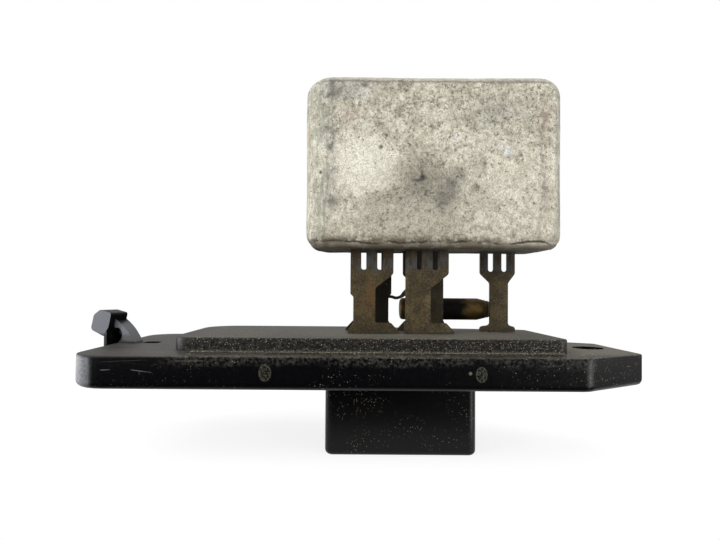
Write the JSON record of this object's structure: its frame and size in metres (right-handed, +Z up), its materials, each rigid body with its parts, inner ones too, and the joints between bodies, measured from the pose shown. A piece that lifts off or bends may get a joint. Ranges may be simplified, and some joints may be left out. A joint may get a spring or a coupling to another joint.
{
  "type": "blower motor resistor",
  "caption": "Car heater blower resistor: moulded flange with a connector socket below and stamped terminals above that hold a potted metal resistor block, with a thermal fuse behind them.",
  "frame": {"origin": "middle of the object's box in x and y, at the level of the connector socket's rim that it stands on", "axes": "+X along the flange towards its screw hole, +Y from the front of the flange to its back, +Z up from the socket to the resistor block"},
  "size_m": [0.0988, 0.0432, 0.0671],
  "materials": {
    "black_plastic": "semi-gloss moulded plastic with dust and fine scratches",
    "oxidised_aluminium": "dull, mottled off-white oxide with dark pits and dirt",
    "potting_cement": "rough olive-grey cement",
    "resistance_alloy": "dull stamped strip",
    "rusty_steel": "dull steel with brown rust",
    "fuse_brass": "tarnished, nearly black to the left",
    "fuse_seal": "pale matt sealing resin",
    "lead_wire": "dull tinned wire"
  },
  "bodies": {
    "root": {"base_plate": "black_plastic", "resistor_case": "oxidised_aluminium", "cement_fill": "potting_cement", "front_element": "resistance_alloy", "rear_element": "resistance_alloy", "terminal_front_left": "rusty_steel", "terminal_front_middle": "rusty_steel", "terminal_rear_left": "rusty_steel", "terminal_rear_middle": "rusty_steel", "terminal_fuse": "rusty_steel", "thermal_fuse_case": "fuse_brass", "thermal_fuse_seal": "fuse_seal", "thermal_fuse_lead_left": "lead_wire", "thermal_fuse_lead_right": "lead_wire"}
  },
  "joints": []
}
